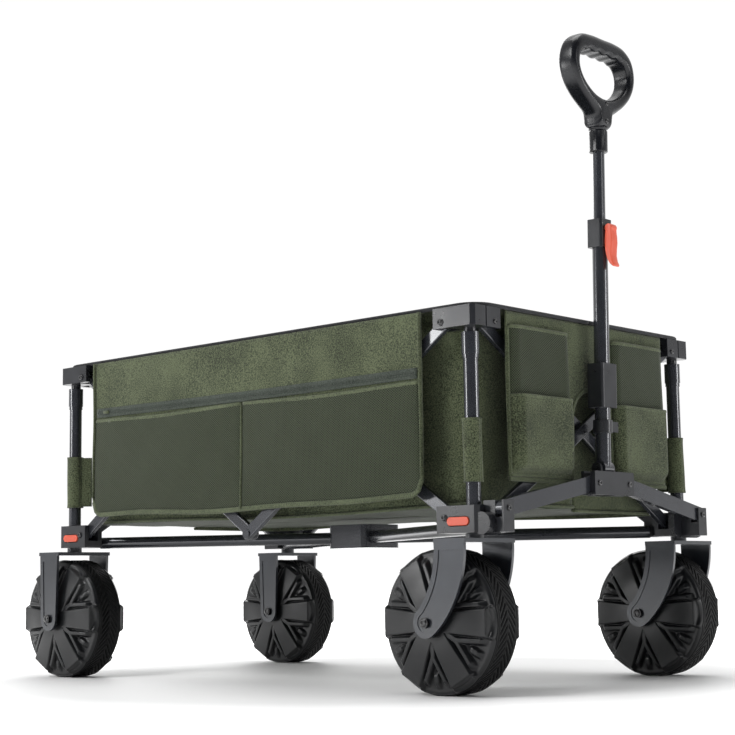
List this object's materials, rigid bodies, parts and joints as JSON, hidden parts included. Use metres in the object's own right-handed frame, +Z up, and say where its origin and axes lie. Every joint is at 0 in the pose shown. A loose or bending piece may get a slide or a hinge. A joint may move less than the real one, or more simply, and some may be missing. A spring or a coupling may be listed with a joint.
{
  "type": "folding wagon with pull handle",
  "caption": "Folding utility wagon with fabric tub, side pockets, fat moulded wheels, front casters and a telescopic D-grip pull handle.",
  "frame": {"origin": "on the floor, at the middle of the wagon's overall box", "axes": "+X towards the pull handle, +Y to the wagon's left, +Z up"},
  "size_m": [1.1035, 0.66, 1.0051],
  "materials": {
    "frame_metal": "dark powder coat, satin",
    "fork_metal": "pressed sheet, satin powder coat",
    "black_plastic": "fine texture",
    "wheel_plastic": "moulded",
    "tread_rubber": "matte",
    "orange_plastic": "smooth",
    "grip_plastic": "soft satin",
    "bolt_steel": "black zinc",
    "olive_fabric": "coarse polyester canvas"
  },
  "bodies": {
    "rear_right_corner": {"post_rear_right": "frame_metal", "base_bracket_rear_right": "black_plastic", "fork_rear_right": "fork_metal", "axle_rear_right": "bolt_steel", "fabric_tub": "olive_fabric", "post_sleeves": "olive_fabric", "side_panel_right": "olive_fabric", "side_panel_left": "olive_fabric", "front_panel": "olive_fabric", "bed_cross": "frame_metal"},
    "top_rear_right": {"top_bracket_rear_right": "black_plastic"},
    "rear_left_corner": {"post_rear_left": "frame_metal", "base_bracket_rear_left": "black_plastic", "fork_rear_left": "fork_metal", "axle_rear_left": "bolt_steel"},
    "top_rear_left": {"top_bracket_rear_left": "black_plastic"},
    "front_right_corner": {"post_front_right": "frame_metal", "base_bracket_front_right": "black_plastic"},
    "top_front_right": {"top_bracket_front_right": "black_plastic"},
    "front_left_corner": {"post_front_left": "frame_metal", "base_bracket_front_left": "black_plastic"},
    "top_front_left": {"top_bracket_front_left": "black_plastic"},
    "side_link_right_base_rear": {"side_link_right_base_rear": "frame_metal"},
    "side_link_right_base_front": {"side_link_right_base_front": "frame_metal"},
    "side_link_right_top_rear": {"side_link_right_top_rear": "frame_metal"},
    "side_link_right_top_front": {"side_link_right_top_front": "frame_metal"},
    "side_link_left_base_rear": {"side_link_left_base_rear": "frame_metal"},
    "side_link_left_base_front": {"side_link_left_base_front": "frame_metal"},
    "side_link_left_top_rear": {"side_link_left_top_rear": "frame_metal"},
    "side_link_left_top_front": {"side_link_left_top_front": "frame_metal"},
    "rear_cross_link_right": {"rear_cross_link_right": "frame_metal"},
    "rear_cross_link_left": {"rear_cross_link_left": "frame_metal"},
    "front_cross_link_right": {"front_cross_link_right": "frame_metal"},
    "front_cross_link_left": {"front_cross_link_left": "frame_metal"},
    "tow_arm_right": {"tow_arm_right": "frame_metal"},
    "handle_yoke": {"handle_yoke": "black_plastic"},
    "tow_arm_left": {"tow_arm_left": "frame_metal"},
    "pull_handle": {"handle_lower_tube": "frame_metal", "handle_guard": "black_plastic", "handle_clip": "black_plastic", "clamp_collar": "black_plastic"},
    "handle_extension": {"handle_upper_tube": "frame_metal", "handle_grip": "grip_plastic"},
    "clamp_lever": {"clamp_lever": "orange_plastic"},
    "button_rear_right": {"release_button_rear_right": "orange_plastic"},
    "wheel_rear_right": {"wheel_rear_right": "wheel_plastic", "tread_rear_right": "tread_rubber"},
    "button_rear_left": {"release_button_rear_left": "orange_plastic"},
    "wheel_rear_left": {"wheel_rear_left": "wheel_plastic", "tread_rear_left": "tread_rubber"},
    "button_front_right": {"release_button_front_right": "orange_plastic"},
    "wheel_front_right": {"wheel_front_right": "wheel_plastic", "tread_front_right": "tread_rubber"},
    "caster_right": {"fork_front_right": "fork_metal", "axle_front_right": "bolt_steel"},
    "button_front_left": {"release_button_front_left": "orange_plastic"},
    "wheel_front_left": {"wheel_front_left": "wheel_plastic", "tread_front_left": "tread_rubber"},
    "caster_left": {"fork_front_left": "fork_metal", "axle_front_left": "bolt_steel"}
  },
  "joints": [
    {"name": "frame_fold", "type": "hinge", "parent": "rear_right_corner", "child": "side_link_right_base_rear", "pos_m": [-0.4088, -0.269, 0.25], "axis": [0, -1, 0], "range_deg": [0, 43.6], "deforming": ["fabric_tub", "post_sleeves", "side_panel_right", "side_panel_left", "front_panel", "bed_cross"]},
    {"name": "fold_right_upper_middle", "type": "hinge", "parent": "side_link_right_base_rear", "child": "side_link_right_base_front", "pos_m": [0.0142, -0.269, 0.543], "axis": [0, -1, 0], "range_deg": [-87.29, 0]},
    {"name": "fold_right_base_front", "type": "hinge", "parent": "side_link_right_base_front", "child": "front_right_corner", "pos_m": [0.4372, -0.269, 0.25], "axis": [0, -1, 0], "range_deg": [0, 43.64]},
    {"name": "fold_right_rear_crossing", "type": "hinge", "parent": "side_link_right_base_rear", "child": "side_link_right_top_rear", "pos_m": [-0.20452, -0.269, 0.3915], "axis": [0, -1, 0], "range_deg": [-87.29, 0]},
    {"name": "fold_right_top_rear", "type": "hinge", "parent": "side_link_right_top_rear", "child": "top_rear_right", "pos_m": [-0.4088, -0.269, 0.533], "axis": [0, -1, 0], "range_deg": [0, 43.64]},
    {"name": "fold_right_front_crossing", "type": "hinge", "parent": "side_link_right_base_front", "child": "side_link_right_top_front", "pos_m": [0.23292, -0.269, 0.3915], "axis": [0, -1, 0], "range_deg": [0, 87.29]},
    {"name": "fold_right_top_front", "type": "hinge", "parent": "side_link_right_top_front", "child": "top_front_right", "pos_m": [0.4372, -0.269, 0.533], "axis": [0, -1, 0], "range_deg": [-43.64, 0]},
    {"name": "fold_left_base_rear", "type": "hinge", "parent": "rear_left_corner", "child": "side_link_left_base_rear", "pos_m": [-0.4088, 0.269, 0.25], "axis": [0, -1, 0], "range_deg": [0, 43.64]},
    {"name": "fold_left_upper_middle", "type": "hinge", "parent": "side_link_left_base_rear", "child": "side_link_left_base_front", "pos_m": [0.0142, 0.269, 0.543], "axis": [0, -1, 0], "range_deg": [-87.29, 0]},
    {"name": "fold_left_base_front", "type": "hinge", "parent": "side_link_left_base_front", "child": "front_left_corner", "pos_m": [0.4372, 0.269, 0.25], "axis": [0, -1, 0], "range_deg": [0, 43.64]},
    {"name": "fold_left_rear_crossing", "type": "hinge", "parent": "side_link_left_base_rear", "child": "side_link_left_top_rear", "pos_m": [-0.20452, 0.269, 0.3915], "axis": [0, -1, 0], "range_deg": [-87.29, 0]},
    {"name": "fold_left_top_rear", "type": "hinge", "parent": "side_link_left_top_rear", "child": "top_rear_left", "pos_m": [-0.4088, 0.269, 0.533], "axis": [0, -1, 0], "range_deg": [0, 43.64]},
    {"name": "fold_left_front_crossing", "type": "hinge", "parent": "side_link_left_base_front", "child": "side_link_left_top_front", "pos_m": [0.23292, 0.269, 0.3915], "axis": [0, -1, 0], "range_deg": [0, 87.29]},
    {"name": "fold_left_top_front", "type": "hinge", "parent": "side_link_left_top_front", "child": "top_front_left", "pos_m": [0.4372, 0.269, 0.533], "axis": [0, -1, 0], "range_deg": [-43.64, 0]},
    {"name": "fold_rear_cross_base", "type": "hinge", "parent": "rear_right_corner", "child": "rear_cross_link_right", "pos_m": [-0.4488, -0.237, 0.25], "axis": [1, 0, 0], "range_deg": [0, 31.03]},
    {"name": "fold_rear_cross_middle", "type": "hinge", "parent": "rear_cross_link_right", "child": "rear_cross_link_left", "pos_m": [-0.4488, 0, 0.3915], "axis": [1, 0, 0], "range_deg": [-62.06, 0]},
    {"name": "fold_rear_left_base", "type": "hinge", "parent": "rear_cross_link_left", "child": "rear_left_corner", "pos_m": [-0.4488, 0.237, 0.25], "axis": [1, 0, 0], "range_deg": [0, 31.03]},
    {"name": "fold_front_cross_base", "type": "hinge", "parent": "front_right_corner", "child": "front_cross_link_right", "pos_m": [0.4772, -0.237, 0.25], "axis": [1, 0, 0], "range_deg": [0, 31.03]},
    {"name": "fold_front_cross_middle", "type": "hinge", "parent": "front_cross_link_right", "child": "front_cross_link_left", "pos_m": [0.4772, 0, 0.3915], "axis": [1, 0, 0], "range_deg": [-62.06, 0]},
    {"name": "tow_arm_right_clevis", "type": "hinge", "parent": "front_right_corner", "child": "tow_arm_right", "pos_m": [0.5222, -0.258, 0.262], "axis": [1, 0, 0], "range_deg": [0, 49.06]},
    {"name": "tow_arm_right_yoke", "type": "hinge", "parent": "tow_arm_right", "child": "handle_yoke", "pos_m": [0.5222, -0.04, 0.304], "axis": [1, 0, 0], "range_deg": [-49.06, 0]},
    {"name": "tow_arm_left_yoke", "type": "hinge", "parent": "handle_yoke", "child": "tow_arm_left", "pos_m": [0.5222, 0.04, 0.304], "axis": [1, 0, 0], "range_deg": [-49.06, 0]},
    {"name": "handle_pitch", "type": "hinge", "parent": "handle_yoke", "child": "pull_handle", "pos_m": [0.5162, 0, 0.328], "axis": [0, 1, 0], "range_deg": [0, 54]},
    {"name": "handle_extend", "type": "slide", "parent": "pull_handle", "child": "handle_extension", "axis": [0.0209, 0, 0.9998], "range_m": [-0.1, 0.12]},
    {"name": "clamp_lever_hinge", "type": "hinge", "parent": "pull_handle", "child": "clamp_lever", "pos_m": [0.54449, 0, 0.69949], "axis": [0, -1, 0], "range_deg": [0, 75]},
    {"name": "rear_right_button_press", "type": "slide", "parent": "rear_right_corner", "child": "button_rear_right", "axis": [0, 1, 0], "range_m": [0, 0.0025], "stiffness_N_per_m": 600, "springref_m": -0.002},
    {"name": "rear_right_wheel_spin", "type": "hinge", "parent": "rear_right_corner", "child": "wheel_rear_right", "pos_m": [-0.4488, -0.269, 0.103], "axis": [0, 1, 0], "continuous": true},
    {"name": "rear_left_button_press", "type": "slide", "parent": "rear_left_corner", "child": "button_rear_left", "axis": [0, -1, 0], "range_m": [0, 0.0025], "stiffness_N_per_m": 600, "springref_m": -0.002},
    {"name": "rear_left_wheel_spin", "type": "hinge", "parent": "rear_left_corner", "child": "wheel_rear_left", "pos_m": [-0.4488, 0.269, 0.103], "axis": [0, 1, 0], "continuous": true},
    {"name": "front_right_button_press", "type": "slide", "parent": "front_right_corner", "child": "button_front_right", "axis": [0, 1, 0], "range_m": [0, 0.0025], "stiffness_N_per_m": 600, "springref_m": -0.002},
    {"name": "caster_right_swivel", "type": "hinge", "parent": "front_right_corner", "child": "caster_right", "pos_m": [0.4772, -0.269, 0.224], "axis": [0, 0, 1], "continuous": true},
    {"name": "front_right_wheel_spin", "type": "hinge", "parent": "caster_right", "child": "wheel_front_right", "pos_m": [0.4302, -0.269, 0.103], "axis": [0, 1, 0], "continuous": true},
    {"name": "front_left_button_press", "type": "slide", "parent": "front_left_corner", "child": "button_front_left", "axis": [0, -1, 0], "range_m": [0, 0.0025], "stiffness_N_per_m": 600, "springref_m": -0.002},
    {"name": "caster_left_swivel", "type": "hinge", "parent": "front_left_corner", "child": "caster_left", "pos_m": [0.4772, 0.269, 0.224], "axis": [0, 0, 1], "continuous": true},
    {"name": "front_left_wheel_spin", "type": "hinge", "parent": "caster_left", "child": "wheel_front_left", "pos_m": [0.4302, 0.269, 0.103], "axis": [0, 1, 0], "continuous": true}
  ],
  "couplings": [
    {"joint": "fold_right_upper_middle", "follows": "frame_fold", "ratio": -2},
    {"joint": "fold_right_base_front", "follows": "frame_fold", "ratio": 1},
    {"joint": "fold_right_rear_crossing", "follows": "frame_fold", "ratio": -2},
    {"joint": "fold_right_top_rear", "follows": "frame_fold", "ratio": 1},
    {"joint": "fold_right_front_crossing", "follows": "frame_fold", "ratio": 2},
    {"joint": "fold_right_top_front", "follows": "frame_fold", "ratio": -1},
    {"joint": "fold_left_base_rear", "follows": "frame_fold", "ratio": 1},
    {"joint": "fold_left_upper_middle", "follows": "frame_fold", "ratio": -2},
    {"joint": "fold_left_base_front", "follows": "frame_fold", "ratio": 1},
    {"joint": "fold_left_rear_crossing", "follows": "frame_fold", "ratio": -2},
    {"joint": "fold_left_top_rear", "follows": "frame_fold", "ratio": 1},
    {"joint": "fold_left_front_crossing", "follows": "frame_fold", "ratio": 2},
    {"joint": "fold_left_top_front", "follows": "frame_fold", "ratio": -1},
    {"joint": "fold_rear_cross_base", "follows": "frame_fold", "ratio": 0.71095},
    {"joint": "fold_rear_cross_middle", "follows": "frame_fold", "ratio": -1.4219},
    {"joint": "fold_rear_left_base", "follows": "frame_fold", "ratio": 0.71095},
    {"joint": "fold_front_cross_base", "follows": "frame_fold", "ratio": 0.71095},
    {"joint": "fold_front_cross_middle", "follows": "frame_fold", "ratio": -1.4219},
    {"joint": "tow_arm_right_clevis", "follows": "frame_fold", "ratio": 1.1241},
    {"joint": "tow_arm_right_yoke", "follows": "frame_fold", "ratio": -1.1241},
    {"joint": "tow_arm_left_yoke", "follows": "frame_fold", "ratio": -1.1241}
  ]
}
